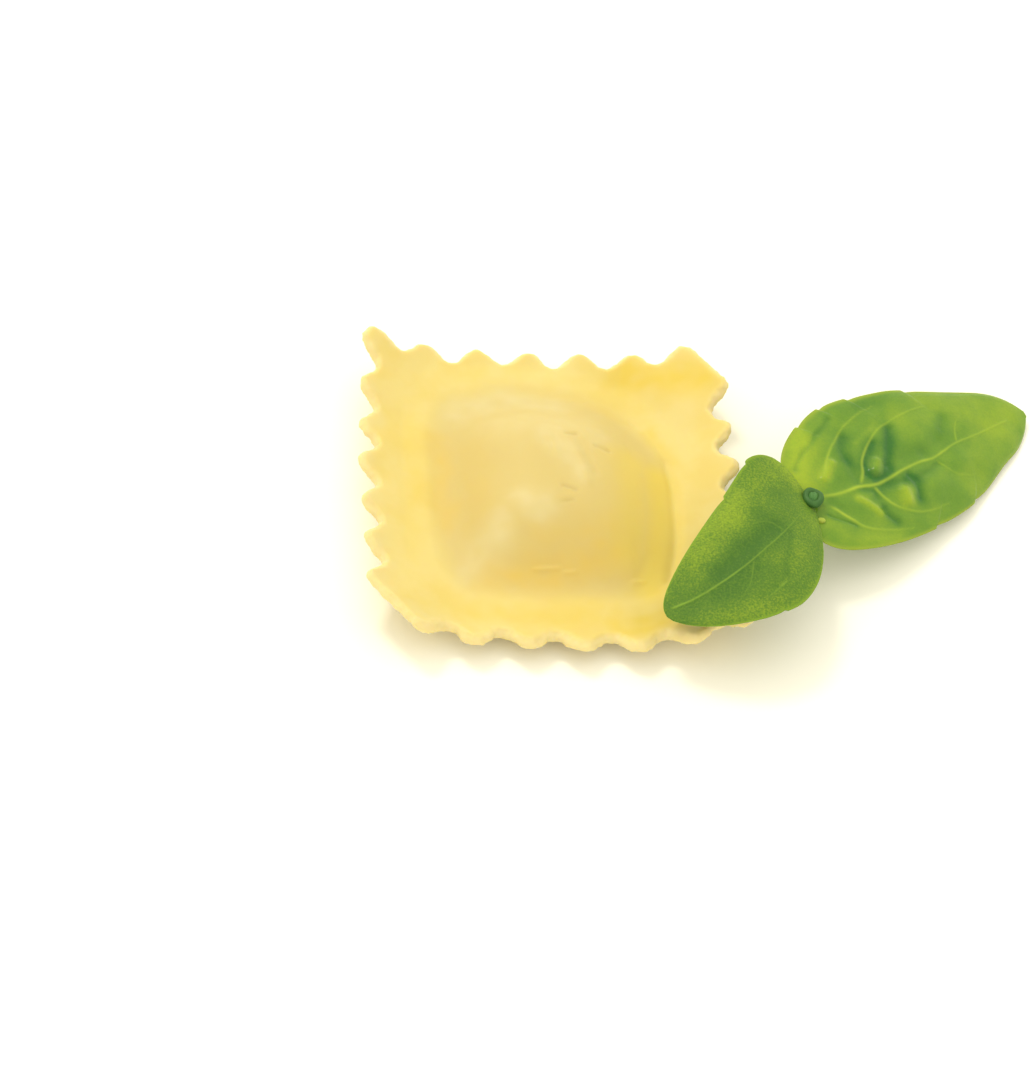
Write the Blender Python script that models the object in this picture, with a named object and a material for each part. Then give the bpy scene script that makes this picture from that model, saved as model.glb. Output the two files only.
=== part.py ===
"""A raviolo, a fluted square pasta pocket, with a small sprig of basil lying on one corner.

Metres, +Z up. The raviolo lies on its flat underside at z = 0 and its middle is at the origin. Its
border is one pressed double layer of dough, curled up a little all round, and its pillow is the
dough over the filling. The sprig is a short stem, a bud and a pair of opposite leaves: the small one
lies over the raviolo's front right corner, the large one rests beside the raviolo.
"""

import math
import random

import bpy
import bmesh
from mathutils import Matrix, Vector

MM = 0.001
SEED = 11

# The fluted square. Tooth tips lie on a rectangle whose sides bow out a little. Each side has the
# place of its first tip, the bow of its middle, the depth of its teeth, and how far its first and
# its last tip are drawn in.
PITCH = 8.0 * MM
TEETH_PER_SIDE = 7
HALF_WIDTH = 28.7 * MM
HALF_LENGTH = 31.4 * MM
FRONT = (-20.7 * MM, 0.8 * MM, 5.0 * MM, 0.0, 0.0)
RIGHT = (-26.6 * MM, 1.1 * MM, 3.9 * MM, 0.0, 0.0)
BACK = (22.5 * MM, 0.3 * MM, 3.9 * MM, 0.0, 1.0 * MM)
LEFT = (27.5 * MM, 1.1 * MM, 3.9 * MM, 0.6 * MM, 0.0)
SKEW = -0.035
TIP_RADIUS = 2.4 * MM
NOTCH_RADIUS = 1.2 * MM
CORNER_RADIUS = 2.1 * MM
LONGEST_STEP = 3.0 * MM
TIP_STEPS = 4
NOTCH_STEPS = 3
TOOTH_JITTER = 0.25 * MM

# The pressed border: its thickness, the slant of its cut face, and how far it curls up. The cut face
# passes a bulge and a rim, each a share of the slant inwards and a share of the thickness upwards.
EDGE_THICKNESS = 1.9 * MM
BORDER_THICKNESS = 2.6 * MM
CUT_SLANT = 0.9 * MM
CUT_BULGE = (0.3, 0.5)
CUT_RIM = (1.0, 0.9)
SHOULDER = 0.5 * MM
CURL_START_X = 12.0 * MM
CURL_START_Y = 14.4 * MM
CURL_SPAN = 16.0 * MM
CURL_SIDES = 5.9 * MM
CURL_ENDS = 3.3 * MM
CURL_CORNERS = 0.9 * MM
CURL_POWER = 1.6

# The pillow: a rounded rectangle in plan, with a broad top and a soft foot. Its corner at the back
# right is cut off more roundly than the other three.
PILLOW_CENTRE = Vector((0.3 * MM, 1.4 * MM))
PILLOW_HALF_X = 18.2 * MM
PILLOW_HALF_Y = 21.6 * MM
PILLOW_SQUARENESS = 4.4
PILLOW_BACK_RIGHT_SQUARENESS = 2.2
PILLOW_RISE = 7.0 * MM
PILLOW_TOP_BREADTH = 1.5
PILLOW_RINGS = (0.94, 0.86, 0.76, 0.64, 0.5, 0.34, 0.16)
BASE_SHARE = 0.66

# The gum line, a rounded rectangle just inside the notches, where the teeth end and the border is even.
GUM_HALF_WIDTH = 22.8 * MM
GUM_HALF_LENGTH = 24.5 * MM
GUM_RADIUS = 7.0 * MM
TOOTH_STEPS = 2
BORDER_STEPS = 3

# The sprig. Each leaf runs from the node, where the stem ends in a bud, to its tip, and its rows of
# points crowd towards the node. The bow lifts its middle, the sweep bends it to the left and the hook
# bends its tip the other way. Pairs are for the leaf's two sides: the one on the right, seen from the
# node towards the tip, and then the left.
NODE = Vector((38.7, -5.1, 10.0)) * MM
STEM_FOOT = Vector((45.0, 9.0, 1.4)) * MM
STEM_RADIUS = 1.2 * MM
STEM_SIDES = 12
BUD_RADIUS = 1.7 * MM
BUD_LIFT = 0.85 * MM
BUD_SUBDIVISIONS = 2
LEAF_THICKNESS = 0.6 * MM
LEAF_STALK_HALF_WIDTH = 0.6 * MM
LEAF_ROWS = 18
LEAF_ROW_CROWDING = 1.5
LEAF_COLUMNS = 8
SMALL_LEAF = {
    "tip": Vector((16.4, -28.5, 9.0)) * MM,
    "half_width": (12.2 * MM, 10.1 * MM),
    "widest_at": (0.21, 0.54),
    "bluntness_at_node": (1.32, 1.58),
    "bluntness_at_tip": (1.90, 1.78),
    "drawn_back": (0.24, -0.13),
    "bow": 4.2 * MM,
    "sweep": 4.1 * MM,
    "hook": 0.8 * MM,
    "tilt_at_node": -22.0,
    "tilt_at_tip": 4.0,
    "cup": -0.08,
}
LARGE_LEAF = {
    "tip": Vector((75.0, 24.1, 1.5)) * MM,
    "half_width": (10.4 * MM, 15.0 * MM),
    "widest_at": (0.47, 0.39),
    "bluntness_at_node": (2.07, 1.40),
    "bluntness_at_tip": (1.60, 1.60),
    "drawn_back": (1.06, 0.51),
    "bow": 1.0 * MM,
    "sweep": -3.0 * MM,
    "hook": -1.1 * MM,
    "tilt_at_node": 14.0,
    "tilt_at_tip": 26.0,
    "cup": -0.12,
}

DOUGH_COLOUR = (0.95, 0.76, 0.30, 1.0)
LEAF_COLOUR = (0.16, 0.33, 0.04, 1.0)


def clear_scene():
    for obj in list(bpy.data.objects):
        bpy.data.objects.remove(obj, do_unlink=True)


def material(name, colour, roughness):
    made = bpy.data.materials.new(name)
    made.use_nodes = True
    shader = made.node_tree.nodes["Principled BSDF"]
    shader.inputs["Base Color"].default_value = colour
    shader.inputs["Roughness"].default_value = roughness
    shader.inputs["Metallic"].default_value = 0.0
    return made


def new_object(name, mesh_maker, surface):
    """An object whose mesh is what mesh_maker adds to a fresh bmesh, shaded smooth."""
    bm = bmesh.new()
    mesh_maker(bm)
    bmesh.ops.recalc_face_normals(bm, faces=bm.faces)
    mesh = bpy.data.meshes.new(name)
    bm.to_mesh(mesh)
    bm.free()
    mesh.shade_smooth()
    mesh.materials.append(surface)
    obj = bpy.data.objects.new(name, mesh)
    bpy.context.scene.collection.objects.link(obj)
    return obj


def tooth_corners():
    """The zigzag round the square, as (point, radius, arc steps): tip, notch, tip and so on.

    No notch joins two sides. Where their end tips are near, they make one broad corner tooth, and
    where they are far apart, a straight cut across the corner.
    """
    rng = random.Random(SEED)
    sides = (
        (FRONT, Vector((1, 0)), Vector((0, 1)), HALF_LENGTH, HALF_WIDTH),
        (RIGHT, Vector((0, 1)), Vector((-1, 0)), HALF_WIDTH, HALF_LENGTH),
        (BACK, Vector((-1, 0)), Vector((0, -1)), HALF_LENGTH, HALF_WIDTH),
        (LEFT, Vector((0, -1)), Vector((1, 0)), HALF_WIDTH, HALF_LENGTH),
    )
    corners = []
    last_step = 2 * TEETH_PER_SIDE - 2
    for (first, bow, tooth_depth, *drawn_in), along, inward, distance, half_side in sides:
        for step in range(last_step + 1):
            is_notch = step % 2 == 1
            start = first * (along.x + along.y)
            travel = start + step * PITCH / 2 + rng.uniform(-TOOTH_JITTER, TOOTH_JITTER)
            depth = (tooth_depth if is_notch else 0.0) + rng.uniform(-TOOTH_JITTER, TOOTH_JITTER)
            bulge = bow * max(0.0, 1 - (travel / half_side) ** 2)
            at_end = step in (0, last_step)
            depth += drawn_in[step > 0] if at_end else 0.0
            point = along * travel + inward * (depth - distance - bulge)
            radius = NOTCH_RADIUS if is_notch else (CORNER_RADIUS if at_end else TIP_RADIUS)
            corners.append((point, radius, NOTCH_STEPS if is_notch else TIP_STEPS))
    return corners


def arc(before, corner, after):
    """The points of the circular arc that rounds one corner off."""
    point, radius, steps = corner
    arriving = (before[0] - point).normalized()
    leaving = (after[0] - point).normalized()
    half_angle = arriving.angle(leaving) / 2
    reach = radius / math.tan(half_angle)
    centre = point + (arriving + leaving).normalized() * (radius / math.sin(half_angle))
    start = point + arriving * reach - centre
    turn = start.angle_signed(point + leaving * reach - centre)
    spins = [Matrix.Rotation(-turn * step / (steps - 1), 2) for step in range(steps)]
    return [centre + spin @ start for spin in spins]


def rounded(corners):
    """The closed outline with its corners rounded off, and the places in it of the notches' middles.

    Where it runs straight for longer than one step, points are added evenly. It starts at a notch.
    """
    count = len(corners)
    arcs = [arc(corners[i - 1], corners[i], corners[(i + 1) % count]) for i in range(count)]
    outline = []
    notches = []
    for i, (here, following) in enumerate(zip(arcs, arcs[1:] + arcs[:1])):
        if corners[i][1] == NOTCH_RADIUS:
            notches.append(len(outline) + NOTCH_STEPS // 2)
        straight = following[0] - here[-1]
        parts = math.ceil(straight.length / LONGEST_STEP)
        outline += here + [here[-1] + straight * part / parts for part in range(1, parts)]
    first = notches[0]
    return outline[first:] + outline[:first], [notch - first for notch in notches]


def inset(outline, distance):
    """The outline moved inwards, each point along its own normal."""
    moved = []
    for i, point in enumerate(outline):
        along = outline[(i + 1) % len(outline)] - outline[i - 1]
        moved.append(point + Vector((-along.y, along.x)).normalized() * distance)
    return moved


def gum_line(outline, notches):
    """A point of the rounded rectangle inside the notches for each outline point.

    A tooth's points are first spread evenly along the straight line from notch to notch, and each is
    then moved to the nearest point of the rectangle.
    """
    flat_x = GUM_HALF_WIDTH - GUM_RADIUS
    flat_y = GUM_HALF_LENGTH - GUM_RADIUS
    ring = []
    for start, end in zip(notches, notches[1:] + [len(outline)]):
        for i in range(start, end):
            share = (i - start) / (end - start)
            point = outline[start].lerp(outline[end % len(outline)], share)
            inner = Vector((max(-flat_x, min(flat_x, point.x)), max(-flat_y, min(flat_y, point.y))))
            ring.append(inner + (point - inner).normalized() * GUM_RADIUS)
    return ring


def pillow_foot(gum):
    """The pillow's foot, a superellipse, in the direction of each point of the gum line."""
    foot = []
    for point in gum:
        way = (point - PILLOW_CENTRE).normalized()
        back_right = way.x > 0 and way.y > 0
        n = PILLOW_BACK_RIGHT_SQUARENESS if back_right else PILLOW_SQUARENESS
        share = abs(way.x / PILLOW_HALF_X) ** n + abs(way.y / PILLOW_HALF_Y) ** n
        foot.append(PILLOW_CENTRE + way * share ** (-1 / n))
    return foot


def mix(a, b, share):
    return [p.lerp(q, share) for p, q in zip(a, b)]


def curl(point):
    """How far the border's underside has curled up from the table at a point."""
    across = max(0.0, abs(point.x) - CURL_START_X) / CURL_SPAN
    along = max(0.0, abs(point.y) - CURL_START_Y) / CURL_SPAN
    corner = CURL_CORNERS * across * along
    return CURL_SIDES * across**CURL_POWER + CURL_ENDS * along**CURL_POWER + corner


def raise_ring(bm, ring, thickness):
    """The ring as vertices, thickness above the curled underside, skewed like the cut square."""
    return [bm.verts.new((p.x + SKEW * p.y, p.y, curl(p) + thickness)) for p in ring]


def join_rings(bm, outer, inner):
    count = len(outer)
    for i in range(count):
        following = (i + 1) % count
        bm.faces.new((outer[i], outer[following], inner[following], inner[i]))


def dome(share):
    """The pillow's rise at a share of the way from its middle to its foot."""
    return PILLOW_RISE * math.cos(math.pi / 2 * share**PILLOW_TOP_BREADTH) ** 2


def raviolo_mesh(bm):
    outline, notches = rounded(tooth_corners())
    shoulder = inset(outline, CUT_SLANT + SHOULDER)
    gum = gum_line(outline, notches)
    foot = pillow_foot(gum)
    bottom_edge = raise_ring(bm, outline, 0.0)
    rings = [bottom_edge]
    for inwards, upwards in (CUT_BULGE, CUT_RIM):
        rings.append(raise_ring(bm, inset(outline, CUT_SLANT * inwards), EDGE_THICKNESS * upwards))
    for step in range(TOOTH_STEPS):
        rings.append(raise_ring(bm, mix(shoulder, gum, step / TOOTH_STEPS), EDGE_THICKNESS))
    for step in range(BORDER_STEPS + 1):
        share = step / BORDER_STEPS
        thickness = EDGE_THICKNESS + (BORDER_THICKNESS - EDGE_THICKNESS) * share
        rings.append(raise_ring(bm, mix(gum, foot, share), thickness))
    for share in PILLOW_RINGS:
        ring = [PILLOW_CENTRE.lerp(point, share) for point in foot]
        rings.append(raise_ring(bm, ring, BORDER_THICKNESS + dome(share)))
    for outer, inner in zip(rings, rings[1:]):
        join_rings(bm, outer, inner)
    bm.faces.new(rings[-1])

    under = [
        bottom_edge,
        raise_ring(bm, gum, 0.0),
        raise_ring(bm, foot, 0.0),
        raise_ring(bm, [PILLOW_CENTRE.lerp(point, BASE_SHARE) for point in foot], 0.0),
    ]
    for outer, inner in zip(under, under[1:]):
        join_rings(bm, inner, outer)
    bm.faces.new(reversed(under[-1]))


def half_breadth(leaf, left, share):
    """How far one side of the blade reaches from the midrib: an oval, widest where the leaf says."""
    at_node = leaf["bluntness_at_node"][left]
    blunt = at_node + (leaf["bluntness_at_tip"][left] - at_node) * share
    place = share ** (math.log(0.5) / math.log(leaf["widest_at"][left]))
    oval = max(0.0, 1 - abs(2 * place - 1) ** blunt) ** (1 / blunt)
    return max(leaf["half_width"][left] * oval, LEAF_STALK_HALF_WIDTH)


def leaf_point(leaf, share, side):
    """A point of the blade: share runs from node to tip, side from -1 at the right edge to 1."""
    run = leaf["tip"] - NODE
    up = Vector((0, 0, 1))
    level = up.cross(run).normalized()
    hump = 4 * share * (1 - share)
    aside = (leaf["sweep"] - leaf["hook"] * (1 + share)) * hump
    middle = NODE + run * share + up * (leaf["bow"] * hump) + level * aside
    tilt = leaf["tilt_at_node"] + (leaf["tilt_at_tip"] - leaf["tilt_at_node"]) * share
    across = Matrix.Rotation(math.radians(tilt), 3, run) @ level
    facing = run.cross(across).normalized()
    half = half_breadth(leaf, side > 0, share)
    back = run.normalized() * (leaf["drawn_back"][side > 0] * (1 - share) * half)
    return middle + across * (half * side) + (facing * (leaf["cup"] * half) - back) * side * side


def leaf_mesh(leaf):
    def build(bm):
        grid = []
        for row in range(LEAF_ROWS + 1):
            share = (row / LEAF_ROWS) ** LEAF_ROW_CROWDING
            sides = [2 * column / LEAF_COLUMNS - 1 for column in range(LEAF_COLUMNS + 1)]
            grid.append([bm.verts.new(leaf_point(leaf, share, side)) for side in sides])
        for near, far in zip(grid, grid[1:]):
            for i in range(LEAF_COLUMNS):
                bm.faces.new((near[i], near[i + 1], far[i + 1], far[i]))

    return build


def stem_mesh(bm):
    """A round stem from its cut foot on the table up to the node, as a cone turned to lie there."""
    run = NODE - STEM_FOOT
    turn = run.to_track_quat("Z", "Y").to_matrix().to_4x4()
    middle = Matrix.Translation((NODE + STEM_FOOT) / 2)
    bmesh.ops.create_cone(
        bm,
        cap_ends=True,
        segments=STEM_SIDES,
        radius1=STEM_RADIUS,
        radius2=STEM_RADIUS,
        depth=run.length,
        matrix=middle @ turn,
    )


def bud_mesh(bm):
    place = Matrix.Translation(NODE + Vector((0, 0, BUD_LIFT)))
    bmesh.ops.create_icosphere(bm, subdivisions=BUD_SUBDIVISIONS, radius=BUD_RADIUS, matrix=place)


def add_to(obj, piece):
    """Unites a piece with obj. The piece itself is a guide that isn't rendered."""
    piece.hide_render = True
    piece.display_type = "WIRE"
    union = obj.modifiers.new(piece.name, "BOOLEAN")
    union.operation = "UNION"
    union.solver = "MANIFOLD"
    union.object = piece


def make_sprig(green):
    sprig = new_object("basil_sprig", stem_mesh, green)
    add_to(sprig, new_object("bud_shape", bud_mesh, green))
    for name, leaf in (("small_leaf_shape", SMALL_LEAF), ("large_leaf_shape", LARGE_LEAF)):
        blade = new_object(name, leaf_mesh(leaf), green)
        wall = blade.modifiers.new("thickness", "SOLIDIFY")
        wall.thickness = LEAF_THICKNESS
        wall.offset = 0.0
        add_to(sprig, blade)


clear_scene()
new_object("raviolo", raviolo_mesh, material("egg_dough", DOUGH_COLOUR, 0.5))
make_sprig(material("basil_leaf", LEAF_COLOUR, 0.45))
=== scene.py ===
# %% [markdown]
# # A raviolo with a sprig of basil
# A raviolo is two thin sheets of egg dough, pressed together round a spoonful of filling and cut out
# with a fluted wheel. This lesson gives the plain model of it a kitchen's finish: uneven hand-rolled
# dough, a filling that pushes lumps into the sheet over it, ragged cut edges, and a sprig of basil
# with veins and puckers. The plain model is loaded first, as a frame that never changes: its pieces
# say how large everything is and where it goes.

# %% Load the plain model
import math

import bpy
import numpy as np
from mathutils import Matrix, Vector, kdtree, noise


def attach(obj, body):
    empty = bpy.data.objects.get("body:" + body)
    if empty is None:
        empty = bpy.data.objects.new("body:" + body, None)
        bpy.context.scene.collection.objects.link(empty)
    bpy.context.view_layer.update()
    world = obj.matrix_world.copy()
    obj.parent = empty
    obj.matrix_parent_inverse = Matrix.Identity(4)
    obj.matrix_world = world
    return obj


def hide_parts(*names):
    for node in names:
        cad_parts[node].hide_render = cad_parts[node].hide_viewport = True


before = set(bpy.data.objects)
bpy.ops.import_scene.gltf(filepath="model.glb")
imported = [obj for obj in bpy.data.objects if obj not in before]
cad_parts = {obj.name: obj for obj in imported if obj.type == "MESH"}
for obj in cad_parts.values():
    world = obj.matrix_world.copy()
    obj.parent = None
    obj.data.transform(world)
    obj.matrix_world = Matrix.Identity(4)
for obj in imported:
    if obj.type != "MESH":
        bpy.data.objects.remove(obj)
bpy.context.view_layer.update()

# %% [markdown]
# ## Small helpers
# Blender works in metres, and food is a matter of millimetres, so shapes are worked out in
# millimetres and multiplied by MM where they meet a mesh. An operator acts on whatever is selected,
# so everything is deselected before a new piece is made.

# %% Helpers for pieces
MM = 0.001


def start_clean():
    bpy.ops.object.select_all(action="DESELECT")


def make_active(piece):
    start_clean()
    piece.select_set(True)
    bpy.context.view_layer.objects.active = piece


def apply_modifier(piece, kind, **settings):
    """Adds a modifier, sets it up and applies it, so that the piece's mesh holds its result."""
    make_active(piece)
    modifier = piece.modifiers.new(kind.lower(), kind)
    for name, value in settings.items():
        setattr(modifier, name, value)
    bpy.ops.object.modifier_apply(modifier=modifier.name)


def read_points(piece):
    """The piece's points, in millimetres, as rows of x, y and z."""
    points = np.empty(3 * len(piece.data.vertices), np.float32)
    piece.data.vertices.foreach_get("co", points)
    return points.reshape(-1, 3).astype(float) / MM


def write_points(piece, points):
    piece.data.vertices.foreach_set("co", (points * MM).astype(np.float32).ravel())
    piece.data.update()


def read_normals(piece):
    normals = np.empty(3 * len(piece.data.vertices), np.float32)
    piece.data.vertex_normals.foreach_get("vector", normals)
    return normals.reshape(-1, 3).astype(float)


def store(piece, name, values):
    """Keeps one number for each point under a name that a material can read."""
    attribute = piece.data.attributes.new(name, "FLOAT", "POINT")
    attribute.data.foreach_set("value", np.asarray(values, np.float32))


def ease(low, high, values):
    """0 below low, 1 above high, and a smooth rise between them. low may be the larger one."""
    share = np.clip((values - low) / (high - low), 0, 1)
    return share * share * (3 - 2 * share)


def unevenness(points, size, seed):
    """Smooth random numbers from about -1 to 1, one for each point, with bumps size mm apart."""
    shift = Vector((17.3 * seed, 5.1 * seed, -9.7 * seed))
    return np.array([noise.noise(Vector(point).to_3d() / size + shift) for point in points])


def warped(points, size, amount, seed):
    """The points pushed about at random by up to amount mm, which makes the edge of a mark uneven."""
    push = [unevenness(points, size, seed + step) for step in range(points.shape[1])]
    return points + amount * np.column_stack(push)


def path_distance(points, path):
    """How far each point is from a path of straight stretches, and how far along the path, 0 to 1."""
    path = np.asarray(path, float)
    nearest = np.full(len(points), 1e9)
    along = np.zeros(len(points))
    for index, (start, end) in enumerate(zip(path, path[1:])):
        run = end - start
        share = np.clip(((points - start) @ run) / (run @ run), 0, 1)
        gap = np.linalg.norm(points - start - share[:, None] * run, axis=1)
        closer = gap < nearest
        nearest[closer] = gap[closer]
        along[closer] = (index + share[closer]) / (len(path) - 1)
    return nearest, along


# %% [markdown]
# ## The camera
# The raviolo is looked at from in front and well above, as over the edge of a table, from 70 cm away
# with a long lens, so that its far side looks hardly smaller than its near side. The camera is rolled
# a little, which turns the whole view clockwise.

# %% Set up the camera
CAMERA_AZIMUTH = -6.2
CAMERA_ELEVATION = 46.5
CAMERA_ROLL = 6.7
CAMERA_DISTANCE = 700.0
CAMERA_TARGET = (-4.84, -3.9, 0.0)
CAMERA_LENS = 157.3


def make_camera():
    turn = math.radians(CAMERA_AZIMUTH)
    rise = math.radians(CAMERA_ELEVATION)
    back = Vector((math.sin(turn) * math.cos(rise), -math.cos(turn) * math.cos(rise), math.sin(rise)))
    camera = bpy.data.objects.new("camera", bpy.data.cameras.new("camera"))
    camera.data.lens = CAMERA_LENS
    camera.data.clip_start = 10 * MM
    aim = back.to_track_quat("Z", "Y").to_matrix()
    roll = Matrix.Rotation(math.radians(CAMERA_ROLL), 3, "Z")
    camera.matrix_world = (aim @ roll).to_4x4()
    camera.location = (Vector(CAMERA_TARGET) + back * CAMERA_DISTANCE) * MM
    bpy.context.scene.collection.objects.link(camera)
    bpy.context.scene.camera = camera
    print("camera", CAMERA_DISTANCE, "mm away, lens", CAMERA_LENS, "mm")


make_camera()

# %% [markdown]
# ## The raviolo's shape
# Dough is soft, so nothing on it is quite flat or sharp. The piece starts as a copy of the plain
# solid. The Remesh modifier wraps that in an even skin of small squares, as clay for sculpting, and
# Smooth takes the steps and the sharp corners off. Then every point is moved by a few rules that say
# what the dough does there. Doing it in rules instead of by brush gives the same raviolo every time.

# %% Copy the plain solid and give it an even skin
SKIN_SIZE = 0.32 * MM
SMOOTHING_PASSES = 5


def copy_of_node(node, name):
    """A piece with its own copy of a plain solid's mesh, its loose triangles sewn together."""
    piece = bpy.data.objects.new(name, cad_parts[node].data.copy())
    bpy.context.scene.collection.objects.link(piece)
    make_active(piece)
    bpy.ops.object.mode_set(mode="EDIT")
    bpy.ops.mesh.select_all(action="SELECT")
    bpy.ops.mesh.remove_doubles(threshold=0.001 * MM)
    bpy.ops.object.mode_set(mode="OBJECT")
    return piece


raviolo = copy_of_node("raviolo", "raviolo_dough")
apply_modifier(raviolo, "REMESH", mode="VOXEL", voxel_size=SKIN_SIZE)
apply_modifier(raviolo, "SMOOTH", factor=0.5, iterations=SMOOTHING_PASSES)
print("raviolo:", len(raviolo.data.vertices), "points")

# %% [markdown]
# ### The rules of the plain shape
# The pillow's foot is a rounded rectangle with its back right corner cut off, and `pillow_share` says
# how far a point is from the middle towards it: 0 in the middle, 1 at the foot, more on the border.
# The underside rises towards the edges, because the border dried and curled a little. With both, the
# height of the smooth top is a formula, and the small facets of the plain solid disappear.

# %% Rules for the underside and the top
SKEW = -0.035
CURL_START = (12.0, 14.4)
CURL_SPAN = 16.0
CURL_RISE = (5.9, 3.3)
CURL_CORNERS = 0.9
CURL_POWER = 1.6
PILLOW_MIDDLE = (0.3, 1.4)
PILLOW_HALF = (18.2, 21.6)
SQUARENESS = 4.4
BACK_RIGHT_SQUARENESS = 2.2
PILLOW_RISE = 7.0
EDGE_THICKNESS = 1.9
BORDER_THICKNESS = 2.6
STEEP_SIDE = 5.0
STEEPNESS = 0.65
ROUNDING = 0.55


def unskewed(points):
    return np.column_stack([points[:, 0] - SKEW * points[:, 1], points[:, 1]])


def pillow_share(plan):
    away = (plan - PILLOW_MIDDLE) / PILLOW_HALF
    power = np.where((away > 0).all(axis=1), BACK_RIGHT_SQUARENESS, SQUARENESS)[:, None]
    return (np.abs(away) ** power).sum(axis=1) ** (1 / power[:, 0])


def underside(plan):
    past = np.maximum(0, np.abs(plan) - CURL_START) / CURL_SPAN
    return (past**CURL_POWER) @ np.array(CURL_RISE) + CURL_CORNERS * past.prod(axis=1)


def pillow_height(plan):
    """The pillow's rise. It runs out softly all round but on its right, where it is steep."""
    share = np.minimum(1, pillow_share(plan))
    away = (plan - PILLOW_MIDDLE) / PILLOW_HALF
    direction = np.arctan2(away[:, 1], away[:, 0]) - math.radians(STEEP_SIDE)
    steep = STEEPNESS * np.maximum(0, np.cos(direction)) ** 2
    corner = np.maximum(0, (away**2).sum(axis=1) - share**2)
    soft_rise = np.cos(math.pi / 2 * share**1.5) ** 2
    full_rise = 1 - share**3.2
    rise = soft_rise * (1 - steep) + full_rise * steep
    return PILLOW_RISE * rise * (1 - ROUNDING * np.minimum(0.6, corner))


def smooth_top(plan):
    share = pillow_share(plan)
    thickness = EDGE_THICKNESS + (BORDER_THICKNESS - EDGE_THICKNESS) * ease(1.25, 1.0, share)
    return underside(plan) + thickness + pillow_height(plan)


# %% [markdown]
# ### Where the cut edge is
# The wheel leaves a slanting cut face all round. A point of the cut face is one that looks sideways
# and is well away from the pillow. A k-d tree then finds for every other point how far the nearest
# piece of cut face is, which is used below to keep the rules off the teeth's edges.

# %% Measure the distance to the cut edge
CUT_FACES_UP = (-0.3, 0.72)


def distance_to_cut(points, normals, share):
    looks_out = (normals[:, 2] > CUT_FACES_UP[0]) & (normals[:, 2] < CUT_FACES_UP[1]) & (share > 1.08)
    tree = kdtree.KDTree(int(looks_out.sum()))
    for index in np.flatnonzero(looks_out):
        tree.insert(points[index], index)
    tree.balance()
    return np.array([tree.find(point)[2] for point in points])


points = read_points(raviolo)
normals = read_normals(raviolo)
plan = unskewed(points)
share = pillow_share(plan)
cut_distance = distance_to_cut(points, normals, share)
print("cut face:", int((cut_distance == 0).sum()), "points")

# %% [markdown]
# ### What the dough does
# A stroke is a ridge or a dent along a short path: the crease where the pillow meets the border, a
# fold over the filling, a pinch. Each is a path in millimetres, a width and a height. Lumps are round.
# Broad unevenness comes from smooth random noise.

# %% Sculpt the dough
STROKES = (
    # (path, half-width, height)
    (((1.6, 9.4), (3.0, 5.6), (4.6, 1.4), (5.2, -1.4)), 0.9, 0.22),
    (((3.8, 8.6), (4.9, 5.0), (6.4, 0.6)), 0.7, -0.15),
    (((-0.4, 7.6), (0.8, 4.0)), 0.6, 0.12),
    (((-1.8, 9.6), (-1.2, 5.4)), 0.9, -0.08),
    (((7.0, 6.6), (8.6, 5.9)), 0.45, -0.26),
    (((1.6, -2.7), (3.4, -3.3)), 0.40, -0.20),
    (((1.4, -5.6), (2.8, -5.3)), 0.35, -0.12),
    (((2.4, 8.5), (3.8, 8.9)), 0.40, -0.14),
    (((-2.6, -15.3), (0.7, -15.0)), 0.32, 0.16),
    (((2.0, -15.6), (3.4, -15.4)), 0.32, 0.15),
    (((12.2, -16.4), (13.6, -16.2)), 0.36, 0.14),
    (((18.0, 8.0), (19.0, 1.0), (18.9, -7.0), (17.6, -16.0)), 0.9, -0.30),
    (((-9.5, 22.6), (0.0, 22.4), (8.0, 20.6), (13.4, 16.4)), 1.2, -0.10),
)
LUMPS = (
    # (place, radius, height)
    ((-2.6, -6.0), 2.6, 0.24),
    ((-8.2, -10.6), 2.4, 0.20),
    ((-12.0, -15.0), 2.2, 0.14),
    ((6.5, 11.0), 3.2, 0.14),
    ((9.5, -5.0), 3.8, 0.16),
    ((-8.4, 4.0), 4.4, -0.18),
    ((-3.2, 15.0), 3.6, 0.12),
    ((2.0, -13.0), 4.0, -0.16),
)
BORDER_WAVE = 0.24
PILLOW_WAVE = 0.16
TOOTH_LIFT = 0.45
EDGE_RAGGEDNESS = 0.22


def dough_relief(points, plan, share):
    """How far the top stands above its smooth shape, in mm."""
    over_filling = ease(1.05, 0.85, share)
    relief = BORDER_WAVE * (1 - over_filling) * unevenness(points, 13.0, 1)
    relief += 0.3 * BORDER_WAVE * unevenness(points, 5.0, 2)
    relief += PILLOW_WAVE * over_filling * unevenness(points, 8.0, 3)
    relief += 0.4 * PILLOW_WAVE * over_filling * unevenness(points, 3.2, 4)
    relief += 0.02 * unevenness(points, 1.3, 5)
    for path, half_width, height in STROKES:
        gap, _ = path_distance(points[:, :2], path)
        relief += height * np.exp(-((gap / half_width) ** 2))
    for place, radius, height in LUMPS:
        gap = np.linalg.norm(points[:, :2] - place, axis=1)
        relief += height * np.exp(-((gap / radius) ** 2))
    return relief


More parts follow.
